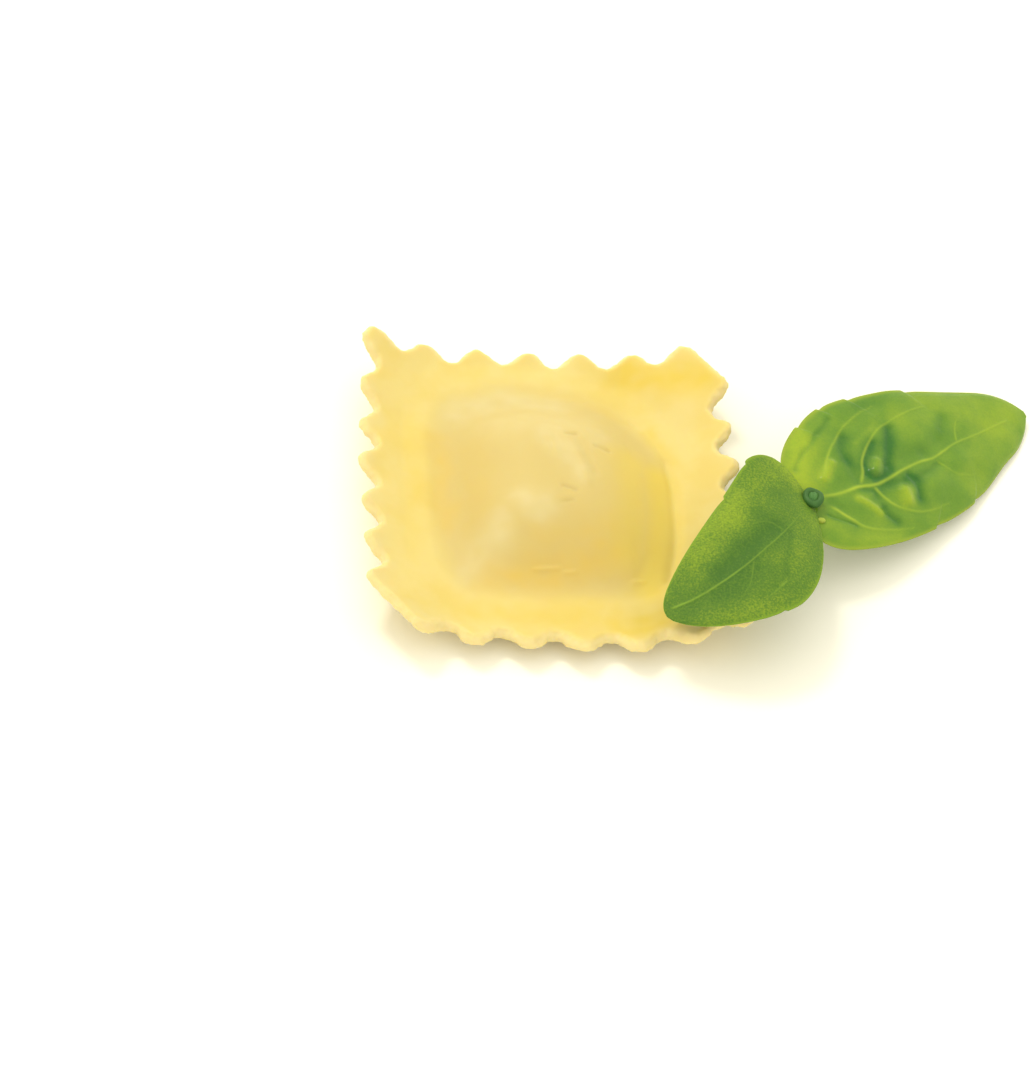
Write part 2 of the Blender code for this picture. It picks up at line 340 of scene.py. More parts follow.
on_top = ease(0.5, 0.78, normals[:, 2]) * ease(0.3, 1.3, cut_distance)
underneath = ease(-0.6, -0.9, normals[:, 2])
on_border = ease(1.04, 1.25, share)
lift = TOOTH_LIFT * on_border * unevenness(np.column_stack([plan, 0 * share]), 7.0, 6)
ragged = EDGE_RAGGEDNESS * (unevenness(points, 1.5, 7) + 0.6 * unevenness(points, 0.7, 8))
shaped = points.copy()
shaped += normals * (ragged * ease(1.2, 0.2, cut_distance) * on_border)[:, None]
shaped[:, 2] += on_top * (smooth_top(plan) - points[:, 2] + dough_relief(points, plan, share))
shaped[:, 2] += underneath * (underside(plan) - points[:, 2])
shaped[:, 2] += lift * ease(0.5, 2.0, underside(plan))
shaped[:, 2] = np.maximum(0, shaped[:, 2])
write_points(raviolo, shaped)
apply_modifier(raviolo, "SMOOTH", factor=0.4, iterations=1)
print("tallest point:", round(read_points(raviolo)[:, 2].max(), 2), "mm")

# %% [markdown]
# ### Marks for the material
# Colour on a raviolo follows what lies under the sheet: curds press up in pale patches, the filling
# dulls the sheet over it, and the fresh cut shows pale, floury dough; in places the sheet is a deeper
# yellow. Some marks are painted shade: along the pillow's left foot and far edge, a greenish yellow
# over its right flank, the back right corner and the fine dents, and one stroke on the flank lightens
# the lamp's shade there. Each is painted in soft strokes, like the relief, and kept as a number on
# every point.

# %% Store the marks
# Painted shade along the fine dents of the relief.
FINE_DENT = 0.5
DENT_SHADE = 0.22
PAINT = {
    # name: (path, half-width, strength)
    "pale": (
        (((-13.0, 18.0), (-7.0, 19.6), (0.5, 19.0)), 3.4, 0.50),
        (((-8.0, 12.0), (3.0, 13.0)), 5.0, 0.25),
        (((-0.6, 9.0), (2.6, 5.0), (4.2, 0.0)), 2.4, 0.45),
        (((6.2, 10.6), (7.2, 7.4)), 1.8, 0.30),
        (((-4.2, -5.0), (-1.0, -6.4)), 2.1, 0.60),
        (((-7.4, -9.4), (-9.4, -11.6), (-12.4, -15.6)), 2.4, 0.50),
        (((-28.4, 16.0), (-28.6, -4.0), (-28.4, -16.0), (-26.6, -27.0)), 2.6, 0.55),
        (((-24.0, -29.0), (-8.0, -31.0), (12.0, -31.0), (27.0, -28.0)), 1.4, 0.60),
        (((-26.5, -19.0), (-23.0, -25.5), (-17.0, -27.5)), 2.8, 0.30),
    ),
    # Partly painted shade: the strokes along the pillow's left foot and far edge stand for shade in that valley and
    # crease; the others are deeper yellow dough.
    "deep_yellow_and_crease_shade": (
        (((-9.0, -15.6), (0.0, -15.6), (8.0, -13.4)), 3.4, 0.75),
        (((0.0, -11.0), (8.0, -9.4)), 3.0, 0.4),
        (((-16.4, 11.0), (-16.6, 2.0), (-16.0, -7.0)), 1.8, 0.6),
        (((-12.0, 8.0), (-11.6, -6.0)), 3.4, 0.25),
        (((3.0, -16.4), (11.0, -14.6)), 2.4, 0.35),
        (((-4.0, 22.6), (5.0, 21.6), (12.0, 18.0)), 1.0, 0.25),
    ),
    # Painted shade: a greenish yellow over the pillow's right flank, which turns from the lamp; the inner stroke
    # lightens the lamp's shade beside it, painted light.
    "olive_flank_light_and_shade": (
        (((16.2, 4.0), (16.6, -4.0), (15.8, -12.0), (14.6, -17.6)), 3.0, 0.60),
        (((12.2, 5.0), (12.6, -3.0), (12.0, -12.0)), 3.6, 0.42),
    ),
    # Partly painted shade: the first stroke stands for the shade in the back right corner, which turns from the lamp;
    # the rest is deeper yellow dough.
    "rich_yellow_and_corner_shade": (
        (((12.0, 27.0), (17.0, 25.4), (23.0, 23.6)), 3.0, 0.9),
        (((15.6, 15.0), (19.4, 8.0)), 1.6, 0.5),
        (((10.0, -25.6), (18.0, -24.0), (24.0, -22.0)), 3.0, 0.9),
        (((-13.0, -23.6), (6.0, -23.8)), 2.2, 0.45),
        (((-20.6, 12.0), (-20.6, -14.0)), 2.0, 0.25),
    ),
    "painted_dent_shade": [(path, width, DENT_SHADE) for path, width, height in STROKES if height < 0 and width < FINE_DENT],
}
# These two are laid on the plain plan, unwarped: the dents' painted shade keeps to the dents, and the flank's keeps a
# smooth edge.
UNWARPED = ("olive_flank_light_and_shade", "painted_dent_shade")


def painted(points, strokes):
    """The strongest stroke's share at each point, from 0 to 1."""
    paint = np.zeros(len(points))
    for path, half_width, strength in strokes:
        gap, _ = path_distance(points[:, :2], path)
        paint = np.maximum(paint, strength * np.exp(-((gap / half_width) ** 2)))
    return paint


uneven_plan = warped(warped(points[:, :2], 6.0, 1.7, 31), 1.8, 0.5, 35)
mottle = 1 + 0.5 * unevenness(points, 2.2, 9)
for name, strokes in PAINT.items():
    marks = painted(points[:, :2], strokes) if name in UNWARPED else painted(uneven_plan, strokes) * mottle
    store(raviolo, name, np.clip(marks, 0, 1) * ease(-0.2, 0.3, normals[:, 2]))
store(raviolo, "filling", ease(1.06, 0.84, share) * ease(-0.2, 0.3, normals[:, 2]))
store(raviolo, "cut", np.exp(-((cut_distance / 0.6) ** 2)) * on_border)
raviolo.data.shade_smooth()
print("painted:", ", ".join(PAINT))

# %% [markdown]
# ## Colours and nodes
# Colours are written as the hex values that a screen shows, and one function turns them into the
# linear numbers that Blender reckons with. One more function adds a shader node, with its settings
# and its links, so that a material reads as a list of what feeds what.

# %% Helpers for materials
def colour(hex_value):
    """The linear colour of an sRGB hex value such as FFE08A."""
    channels = [int(hex_value[i : i + 2], 16) / 255 for i in (0, 2, 4)]
    return tuple(c / 12.92 if c <= 0.04045 else ((c + 0.055) / 1.055) ** 2.4 for c in channels) + (1.0,)


def add_node(material, kind, settings=None, links=None):
    """Adds a node. A setting is one of its properties or else one of its inputs; a link feeds an input."""
    node = material.node_tree.nodes.new(kind)
    for name, value in (settings or {}).items():
        if hasattr(node, name):
            setattr(node, name, value)
        else:
            node.inputs[name].default_value = value
    for name, source in (links or {}).items():
        material.node_tree.links.new(source, node.inputs[name])
    return node


def new_material(name, settings):
    """A material and its Principled shader, with the settings made on the shader's own inputs."""
    material = bpy.data.materials.new(name)
    material.use_nodes = True
    shader = material.node_tree.nodes["Principled BSDF"]
    for socket, value in settings.items():
        shader.inputs[socket].default_value = value
    return material, shader


# %% [markdown]
# ## Fresh egg dough
# Semolina and egg yolk give a warm pale yellow. Light enters the dough and comes out again a
# millimetre or two away, redder than it went in, which softens every shadow on it: that is the
# shader's subsurface part. The surface is satin, with a fine grain from the rolling pin's flour. The
# painted marks mix one colour after another over the plain sheet.

# %% Make the dough material
DOUGH_SHEET = (colour("D4C177"), colour("D2BC67"))
# Painted shade rides on four layers: the corner's and the foot's deeper yellows, the flank's greenish yellow and the
# dents.
DOUGH_LAYERS = (
    # (mark, colour), from the lowest layer to the topmost
    ("rich_yellow_and_corner_shade", colour("D1B748")),
    ("filling", colour("C5B06B")),
    ("deep_yellow_and_crease_shade", colour("CBAF56")),
    ("olive_flank_light_and_shade", colour("DAC038")),
    ("pale", colour("CEC08C")),
    ("painted_dent_shade", colour("B59C56")),
    ("cut", colour("DAC98D")),
)
GRAIN_SIZE = 0.45  # mm, semolina grains are 0.2 to 0.5 mm


def make_dough():
    material, shader = new_material(
        "fresh_egg_dough_rolled",
        {
            "Roughness": 0.55,
            "IOR": 1.42,
            "Subsurface Weight": 0.5,
            "Subsurface Radius": (0.85, 0.6, 0.22),
            "Subsurface Scale": 1.6 * MM,
        },
    )
    place = add_node(material, "ShaderNodeTexCoord").outputs["Object"]
    broad = add_node(material, "ShaderNodeTexNoise", {"Scale": 1 / (7 * MM), "Detail": 3.0}, {"Vector": place})
    grain = add_node(
        material, "ShaderNodeTexNoise", {"Scale": 1 / (GRAIN_SIZE * MM), "Detail": 2.0}, {"Vector": place}
    )
    depth = add_node(
        material, "ShaderNodeMapRange", {"From Min": 0.40, "From Max": 0.66}, {"Value": broad.outputs["Fac"]}
    )
    layer = add_node(
        material,
        "ShaderNodeMixRGB",
        {"Color1": DOUGH_SHEET[0], "Color2": DOUGH_SHEET[1]},
        {"Fac": depth.outputs["Result"]},
    )
    for name, tint in DOUGH_LAYERS:
        mark = add_node(material, "ShaderNodeAttribute", {"attribute_name": name})
        layer = add_node(
            material,
            "ShaderNodeMixRGB",
            {"Color2": tint},
            {"Fac": mark.outputs["Fac"], "Color1": layer.outputs["Color"]},
        )
    bump = add_node(
        material,
        "ShaderNodeBump",
        {"Strength": 0.25, "Distance": 0.03 * MM},
        {"Height": grain.outputs["Fac"]},
    )
    material.node_tree.links.new(layer.outputs["Color"], shader.inputs["Base Color"])
    material.node_tree.links.new(bump.outputs["Normal"], shader.inputs["Normal"])
    print("dough:", len(DOUGH_LAYERS), "painted layers over the sheet")
    return material


raviolo.data.materials.clear()
raviolo.data.materials.append(make_dough())

# %% [markdown]
# ## The basil leaves
# A basil leaf is a thin blade that bulges up between its veins, like a quilt. Each leaf here is a flat
# grid that is bent to its place: `share` runs from the sprig's node to the tip, and `side` from -1 at
# one margin to 1 at the other. The same rules shaped the plain solid, so the leaf fits it. Veins and
# folds are then paths on the blade, given as (share, side) pairs, and each raises or lowers the points
# near it. A Solidify modifier gives the blade its two faces.

# %% The leaves' plain shape
NODE = np.array((38.7, -5.1, 10.0))
STALK_HALF_WIDTH = 0.6
SMALL_LEAF = {
    "tip": (16.4, -28.5, 9.0),
    "half_width": (12.2, 10.1),
    "widest_at": (0.21, 0.54),
    "bluntness_at_node": (1.32, 1.58),
    "bluntness_at_tip": (1.90, 1.78),
    "drawn_back": (0.24, -0.13),
    "bow": 4.2,
    "sweep": 4.1,
    "hook": 0.8,
    "tilt": (-22.0, 4.0),
    "cup": -0.08,
    "teeth": ((0.22, 0.43), (0.62,)),
    "tooth_depth": 0.45,
    "waist": ((0.80, 0.1, 0.0), (0.80, 0.1, 0.0)),
}
LARGE_LEAF = {
    "tip": (75.0, 24.1, 1.5),
    "half_width": (10.4, 15.0),
    "widest_at": (0.47, 0.39),
    "bluntness_at_node": (2.07, 1.40),
    "bluntness_at_tip": (1.60, 1.60),
    "drawn_back": (1.06, 0.51),
    "bow": 1.0,
    "sweep": -3.0,
    "hook": -1.1,
    "tilt": (14.0, 26.0),
    "cup": -0.12,
    "teeth": ((0.50, 0.66), (0.25, 0.36, 0.46, 0.64)),
    "tooth_depth": 0.55,
    "waist": ((0.83, 0.08, 0.13), (0.79, 0.11, 0.09)),
}


def margin_notches(leaf, share, left):
    """How far the margin steps in behind each tooth, in mm. The teeth point to the leaf's tip."""
    step = np.zeros_like(share)
    for side, teeth in enumerate(leaf["teeth"]):
        for place in teeth:
            behind = ease(0.0, 0.012, share - place) * np.exp(-np.maximum(0, share - place) / 0.035)
            step += np.where(left == side, behind, 0)
    return leaf["tooth_depth"] * step


def half_breadth(leaf, share, left):
    """How far the blade reaches from the midrib. The waist draws it in a little near the tip."""
    at_node = np.array(leaf["bluntness_at_node"])[left]
    blunt = at_node + (np.array(leaf["bluntness_at_tip"])[left] - at_node) * share
    place = share ** (math.log(0.5) / np.log(np.array(leaf["widest_at"])[left]))
    oval = np.maximum(0, 1 - np.abs(2 * place - 1) ** blunt) ** (1 / blunt)
    middle, span, depth = np.array(leaf["waist"])[left].T
    waist = 1 - depth * np.exp(-(((share - middle) / span) ** 2))
    return np.maximum(np.array(leaf["half_width"])[left] * oval * waist, STALK_HALF_WIDTH)


def leaf_surface(leaf, share, side):
    """Points of the smooth blade, in mm, for arrays of share and side."""
    run = np.array(leaf["tip"]) - NODE
    ahead = run / np.linalg.norm(run)
    level = np.cross((0, 0, 1), run)
    level /= np.linalg.norm(level)
    hump = 4 * share * (1 - share)
    rise = np.outer(hump, (0, 0, leaf["bow"]))
    aside = (leaf["sweep"] - leaf["hook"] * (1 + share)) * hump
    middle = NODE + np.outer(share, run) + rise + np.outer(aside, level)
    tilt = np.radians(leaf["tilt"][0] + (leaf["tilt"][1] - leaf["tilt"][0]) * share)
    across = np.outer(np.cos(tilt), level) + np.outer(np.sin(tilt), np.cross(ahead, level))
    facing = np.cross(ahead, across)
    left = (side > 0).astype(int)
    half = half_breadth(leaf, share, left)
    back = np.array(leaf["drawn_back"])[left] * (1 - share) * half
    reach = half - np.abs(side) * margin_notches(leaf, share, left)
    bend = facing * (leaf["cup"] * half)[:, None] - np.outer(back, ahead)
    return middle + across * (reach * side)[:, None] + bend * (side**2)[:, None]


def smooth_path(marks):
    """A soft curve through a few (share, side) marks, eight points to a stretch (Catmull-Rom)."""
    marks = np.array(marks, float)
    ends = np.vstack([2 * marks[0] - marks[1], marks, 2 * marks[-1] - marks[-2]])
    t = np.arange(8)[:, None] / 8
    curve = []
    for a, b, c, d in zip(ends, ends[1:], ends[2:], ends[3:]):
        curve.append(b + t * (c - a) / 2 + t**2 * (a - 2.5 * b + 2 * c - d / 2) + t**3 * (1.5 * (b - c) + (d - a) / 2))
    return np.vstack(curve + [marks[-1:]])


# %% [markdown]
# ### Veins and folds
# The midrib and the side veins stand a little proud on both faces. A fold is a soft valley or, with a
# positive height, a bulge, and its tone is painted on the blade: the deeper green of a valley is
# painted shade, and the paler green of a bulge is partly a painted highlight. A fold of no height is
# only a patch of tone, painted shade where it is deeper. Widths and heights are in millimetres.

# %% Say where the veins and folds run
SMALL_VEINS = (
    # (path, half-width where it starts, strength)
    (
        (
            (0.965, -0.45), (0.94, -0.24), (0.90, -0.09), (0.84, 0.0), (0.74, 0.04),
            (0.62, 0.04), (0.50, 0.02), (0.34, 0.0), (0.16, -0.03),
        ),
        0.15,
        1.0,
    ),
    (((0.31, -0.01), (0.33, -0.20), (0.38, -0.33), (0.44, -0.42)), 0.12, 0.35),
    (((0.10, -0.44), (0.16, -0.55), (0.28, -0.68)), 0.12, 0.25),
    (((0.52, 0.60), (0.58, 0.63), (0.66, 0.69)), 0.14, 0.7),
    (((0.56, 0.05), (0.62, 0.22), (0.68, 0.37), (0.74, 0.46)), 0.12, 0.35),
    (((0.52, 0.60), (0.45, 0.68), (0.34, 0.75)), 0.12, 0.25),
    (((0.30, 0.03), (0.40, 0.26), (0.51, 0.56)), 0.12, 0.15),
)
SMALL_FOLDS = (
    # (path, half-width, height, tone from -1 dark to 1 light; dark is painted shade)
    (((0.34, -0.14), (0.45, -0.20), (0.58, -0.18), (0.70, -0.14)), 1.4, -0.25, -0.90),
    (((0.46, -0.06), (0.60, -0.06), (0.74, -0.08)), 0.8, 0.0, -0.30),
    (((0.60, 0.20), (0.74, 0.24), (0.90, 0.14)), 1.7, -0.14, -0.55),
    (((0.10, -0.34), (0.24, -0.40), (0.34, -0.42)), 1.1, -0.08, -0.22),
    (((0.40, -0.78), (0.54, -0.82), (0.72, -0.74)), 1.9, 0.22, 0.60),
    (((0.14, -0.66), (0.24, -0.70)), 1.2, 0.06, 0.30),
    (((0.46, -0.56), (0.58, -0.62)), 1.9, 0.05, 0.14),
    (((0.31, 0.36), (0.42, 0.34)), 1.2, 0.10, 0.20),
    (((0.30, 0.06), (0.40, 0.29), (0.50, 0.54)), 0.35, -0.07, -0.40),
    (((0.64, 0.82), (0.76, 0.78), (0.90, 0.60)), 1.3, 0.0, 0.40),
    (((0.02, -0.60), (0.05, -0.95)), 1.1, 0.0, 0.70),
    (((0.09, 0.60), (0.12, -0.20)), 1.6, 0.0, 0.20),
)
LARGE_VEINS = (
    (
        (
            (0.03, 0.12), (0.10, 0.01), (0.19, 0.0), (0.245, -0.06), (0.31, -0.05), (0.38, -0.01),
            (0.46, 0.0), (0.52, -0.03), (0.58, 0.0), (0.65, 0.03), (0.76, 0.02), (0.90, 0.03),
        ),
        0.30,
        1.0,
    ),
    (
        ((0.20, 0.02), (0.24, 0.15), (0.27, 0.27), (0.32, 0.37), (0.40, 0.48), (0.48, 0.56), (0.64, 0.66)),
        0.28,
        0.85,
    ),
    (((0.12, 0.38), (0.17, 0.50), (0.24, 0.60), (0.31, 0.67), (0.42, 0.75), (0.50, 0.82)), 0.26, 0.75),
    (((0.65, 0.04), (0.67, 0.18), (0.70, 0.32), (0.74, 0.44)), 0.18, 0.45),
    (((0.24, -0.07), (0.26, -0.28), (0.30, -0.46), (0.36, -0.60), (0.43, -0.70), (0.54, -0.76)), 0.28, 0.85),
    (((0.53, -0.08), (0.56, -0.28), (0.60, -0.44), (0.68, -0.60)), 0.20, 0.5),
    (((0.055, -0.26), (0.10, -0.46), (0.15, -0.60), (0.20, -0.71), (0.28, -0.79), (0.40, -0.87)), 0.28, 0.9),
)
LARGE_FOLDS = (
    (((0.252, 0.11), (0.266, 0.04), (0.30, 0.015), (0.335, 0.05)), 0.60, -0.22, -1.0),
    (((0.270, 0.20), (0.31, 0.31), (0.36, 0.39)), 0.68, -0.22, -0.9),
    (((0.345, 0.12), (0.38, 0.23), (0.415, 0.33), (0.46, 0.47)), 0.78, -0.36, -1.1),
    # Painted highlight: this bulge's paler tone stands in for a glint on it.
    (((0.285, 0.11), (0.31, 0.18)), 0.80, 0.58, 0.55),
    (((0.35, 0.10), (0.44, 0.13), (0.50, 0.11)), 1.0, -0.10, -0.12),
    (((0.50, 0.08), (0.58, 0.16)), 1.1, -0.20, -0.35),
    (((0.63, 0.30), (0.665, 0.43)), 0.75, -0.15, -0.45),
    (((0.395, -0.14), (0.408, -0.30), (0.415, -0.50)), 0.72, -0.32, -1.1),
    (((0.42, -0.24), (0.47, -0.19), (0.53, -0.15)), 0.60, -0.20, -0.55),
    (((0.27, -0.14), (0.36, -0.18)), 0.9, -0.20, -0.75),
    # Painted highlight: this bulge's paler tone stands in for a glint on it.
    (((0.348, -0.32), (0.355, -0.46)), 0.95, 0.62, 0.80),
    (((0.262, -0.48), (0.285, -0.60), (0.32, -0.70)), 0.60, -0.28, -0.85),
    (((0.20, -0.07), (0.232, -0.16), (0.236, -0.28)), 0.65, -0.12, -0.65),
    (((0.05, -0.50), (0.10, -0.57), (0.16, -0.66)), 0.30, -0.16, -0.60),
    (((0.06, -0.12), (0.09, -0.30)), 0.8, -0.08, -0.40),
    (((0.235, 0.40), (0.26, 0.52), (0.30, 0.61)), 0.85, -0.28, -0.8),
    (((0.205, 0.14), (0.22, 0.30)), 1.0, -0.15, -0.35),
    (((0.08, 0.10), (0.14, 0.20)), 1.1, -0.06, -0.25),
    (((0.46, 0.87), (0.57, 0.89)), 0.9, 0.0, -0.30),
    (((0.08, 0.79), (0.20, 0.785), (0.34, 0.84)), 0.35, -0.12, -0.50),
    (((0.05, 0.60), (0.12, 0.78), (0.22, 0.92)), 2.0, 0.0, 0.90),
    (((0.31, 0.47), (0.40, 0.53)), 0.5, 0.06, 0.28),
    (((0.11, 0.36), (0.18, 0.45)), 0.65, 0.38, 0.70),
    (((0.17, -0.24), (0.22, -0.44), (0.25, -0.56)), 0.50, 0.22, 0.75),
    (((0.06, -0.70), (0.16, -0.84), (0.34, -0.93)), 1.2, 0.0, 0.40),
    (((0.66, -0.66), (0.80, -0.44), (0.94, -0.10)), 2.8, 0.05, 0.30),
    (((0.56, 0.50), (0.72, 0.62), (0.88, 0.40)), 2.6, 0.12, 0.28),
    (((0.50, -0.44), (0.62, -0.26)), 2.0, 0.18, 0.0),
)

# %% [markdown]
# ### Grow a leaf
# The leaf starts as Blender's grid primitive. Its points are put on the blade, and each then moves
# along the blade's own normal by what the veins, the folds and the quilting between veins say. The
# margin is thinner than the middle, and the ribs stand out more on the underside.

# %% Build both leaves
VEIN_HEIGHT = 0.09
TONE_SPREAD = 1.5
RIB_HEIGHT = 0.28
LEAF_THICKNESS = 0.38
MARGIN_THINNESS = 0.35


def vein_marks(leaf, points, veins):
    """For each point: how strongly a vein shows there, how much it stands proud, and the gap to the nearest."""
    shows = np.zeros(len(points))
    proud = np.zeros(len(points))
    gap = np.full(len(points), 1e9)
    for path, width, strength in veins:
        curve = smooth_path(path)
        away, along = path_distance(points, leaf_surface(leaf, curve[:, 0], curve[:, 1]))
        half_width = width * (1 - 0.6 * along)
        fade = strength * (1 - 0.6 * along**1.6) * ease(0.0, 0.15, along + 0.05)
        fade *= 0.85 + 0.3 * unevenness(points, 2.4, 43)
        shows = np.maximum(shows, fade * np.exp(-((away / half_width) ** 2)))
        proud = np.maximum(proud, fade * np.exp(-((away / (1.8 * half_width)) ** 2)))
        gap = np.minimum(gap, away + 1.2 * (1 - strength))
    return shows, proud, gap


def fold_marks(leaf, points, folds):
    """For each point: how far the folds move it along the blade's normal, and their tone, which is
    painted shade in the valleys and a paler green or painted highlight on the bulges.
    """
    uneven = warped(points, 2.6, 0.45, 41)
    height = np.zeros(len(points))
    tone = np.zeros(len(points))
    for path, width, depth, shade in folds:
        curve = smooth_path(path)
        line = leaf_surface(leaf, curve[:, 0], curve[:, 1])
        height += depth * np.exp(-((path_distance(points, line)[0] / width) ** 2))
        tone += shade * np.exp(-((path_distance(uneven, line)[0] / (TONE_SPREAD * width)) ** 2))
    return height, np.clip(tone, -1, 1)


def turn_outwards(piece):
    make_active(piece)
    bpy.ops.object.mode_set(mode="EDIT")
    bpy.ops.mesh.select_all(action="SELECT")
    bpy.ops.mesh.normals_make_consistent(inside=False)
    bpy.ops.object.mode_set(mode="OBJECT")


def grow_leaf(name, leaf, rows, columns, veins, folds, quilting, wave, grain):
    start_clean()
    bpy.ops.mesh.primitive_grid_add(x_subdivisions=rows, y_subdivisions=columns, size=2)
    piece = bpy.context.object
    piece.name = name
    grid = read_points(piece) * MM
    share = ((grid[:, 0] + 1) / 2) ** 1.25
    side = 0.8 * grid[:, 1] + 0.2 * grid[:, 1] ** 3
    blade = leaf_surface(leaf, share, side)
    write_points(piece, blade)
    facing = read_normals(piece)
    facing *= np.sign(facing[:, 2].mean())
    shows, proud, gap = vein_marks(leaf, blade, veins)
    folded, tone = fold_marks(leaf, blade, folds)
    height = VEIN_HEIGHT * proud + quilting * (1 - np.exp(-((gap / 2.4) ** 2))) + folded
    calm = ease(1.0, 0.86, np.abs(side)) * ease(0.0, 0.06, share) * ease(1.0, 0.94, share)
    height *= 0.25 + 0.75 * calm
    height += wave * unevenness(blade, 6.5, 21) * ease(0.0, 0.2, share) * ease(1.0, 0.85, share)
    height += grain * unevenness(blade, 0.8, 22)
    write_points(piece, blade + facing * height[:, None])
    store(piece, "vein", shows)
    # tone: painted shade where it is negative, pale patches and painted highlight where it is positive
    store(piece, "tone", tone)
    store(piece, "margin", ease(0.93, 1.0, np.abs(side)) * ease(0.0, 0.1, share))
    thin = piece.vertex_groups.new(name="blade")
    for index, weight in enumerate(ease(1.0, 0.72, np.abs(side))):
        thin.add([index], float(weight), "REPLACE")
    turn_outwards(piece)
    apply_modifier(
        piece,
        "SOLIDIFY",
        thickness=LEAF_THICKNESS * MM,
        offset=0.0,
        vertex_group="blade",
        thickness_vertex_group=MARGIN_THINNESS,
    )
    points = read_points(piece)
    base = np.tile(blade + facing * height[:, None], (2, 1))
    below = ((points - base) * np.tile(facing, (2, 1))).sum(axis=1) < 0
    points -= np.tile(facing * (RIB_HEIGHT * proud)[:, None], (2, 1)) * below[:, None]
    write_points(piece, points)
    store(piece, "under", below)
    turn_outwards(piece)
    piece.data.shade_smooth()
    print(name + ":", len(piece.data.vertices), "points, folds from", round(height.min(), 2), "mm")
    return piece


small_leaf = grow_leaf("small_basil_leaf", SMALL_LEAF, 250, 180, SMALL_VEINS, SMALL_FOLDS, 0.08, 0.16, 0.03)
large_leaf = grow_leaf("large_basil_leaf", LARGE_LEAF, 290, 160, LARGE_VEINS, LARGE_FOLDS, 0.20, 0.26, 0.012)

# %% [markdown]
# ## The stem and the bud
# Basil's young stem is squarish, with a shallow groove down each side, and is cut off bluntly. Between
# the two leaves sits the growing tip: a tight ring of next leaves round a paler heart, with a side bud
# in the fold of the large leaf. They are primitives whose points are moved by short rules.

# %% Build the stem and the bud
STEM_FOOT = np.array((45.0, 9.0, 1.4))
STEM_RADIUS = 1.15
BUD_LIFT = 1.35


def place_points(piece, points):
    write_points(piece, points)
    piece.data.shade_smooth()
    return piece


def make_stem():
    start_clean()
    bpy.ops.mesh.primitive_cylinder_add(vertices=48, radius=1, depth=1, end_fill_type="TRIFAN")
    piece = bpy.context.object
    piece.name = "basil_stem"
    bpy.ops.object.mode_set(mode="EDIT")
    bpy.ops.mesh.select_all(action="SELECT")
    bpy.ops.mesh.subdivide(number_cuts=7)
    bpy.ops.object.mode_set(mode="OBJECT")
    unit = read_points(piece) * MM
    angle = np.arctan2(unit[:, 1], unit[:, 0])
    reach = np.hypot(unit[:, 0], unit[:, 1])
    along = unit[:, 2] + 0.5
    squarish = 1 + 0.07 * np.cos(4 * angle)
    rounded_end = 1 - 0.16 * ease(0.05, 0.0, along) * reach
    radius = STEM_RADIUS * reach * squarish * rounded_end * (0.86 + 0.14 * along)
    run = NODE - STEM_FOOT
    ahead = run / np.linalg.norm(run)
    aside = np.cross(ahead, (0, 0, 1))
    aside /= np.linalg.norm(aside)
    upward = np.cross(aside, ahead)
    line = STEM_FOOT + np.outer(along, run) + np.outer(np.sin(math.pi * along) * 0.5, aside)
    points = line + np.outer(radius * np.cos(angle), aside) + np.outer(radius * np.sin(angle), upward)
    return place_points(piece, points)


def make_bud_ring():
    start_clean()
    bpy.ops.mesh.primitive_torus_add(major_segments=64, minor_segments=24, major_radius=1.12, minor_radius=0.5)
    piece = bpy.context.object
    piece.name = "basil_bud_ring"
    unit = read_points(piece) * MM
    angle = np.arctan2(unit[:, 1], unit[:, 0])
    lobes = 1 + 0.05 * np.cos(2 * angle + 0.6)
    points = unit * lobes[:, None] * (0.95, 1.2, 1.15)
    points[:, 2] += 0.10 * np.cos(2 * angle + 0.6) + 0.08 * np.cos(3 * angle)
    return place_points(piece, points + NODE + (0, 0, BUD_LIFT))


def make_bud_heart():
    start_clean()
    bpy.ops.mesh.primitive_uv_sphere_add(segments=40, ring_count=24, radius=0.86)
    piece = bpy.context.object
    piece.name = "basil_bud_heart"
    unit = read_points(piece) * MM
    unit[:, 1] *= 1.15
    unit[:, 2] = unit[:, 2] * 0.85 - 0.12 * np.exp(-((unit[:, 0] / 0.12) ** 2)) * (unit[:, 2] > 0)
    return place_points(piece, unit + NODE + (0, 0, BUD_LIFT))


def make_side_bud():
    start_clean()
    bpy.ops.mesh.primitive_uv_sphere_add(segments=32, ring_count=20, radius=0.5)
    piece = bpy.context.object
    piece.name = "basil_side_bud"
    unit = read_points(piece) * MM * (1.35, 0.9, 0.9)
    return place_points(piece, unit + NODE + (1.2, -3.1, -0.3))


stem = make_stem()
bud_ring = make_bud_ring()
bud_heart = make_bud_heart()
side_bud = make_side_bud()
print("stem and bud:", sum(len(p.data.vertices) for p in (stem, bud_ring, bud_heart, side_bud)), "points")

# %% [markdown]
# ## Basil green
# A basil leaf's skin is a clear wax over green tissue. The large leaf is glossy, so it gets a coat
# over the shader; the small one is dull and finely grained. Veins hold less green and show pale
# yellow. The deeper green in the folds is painted shade, and the paler green on the bulges is partly
# a painted highlight.

# %% Make the leaf materials
LEAF_CELL = 0.3  # mm, the leaf's skin cells are far smaller, and this is as coarse as its grain shows


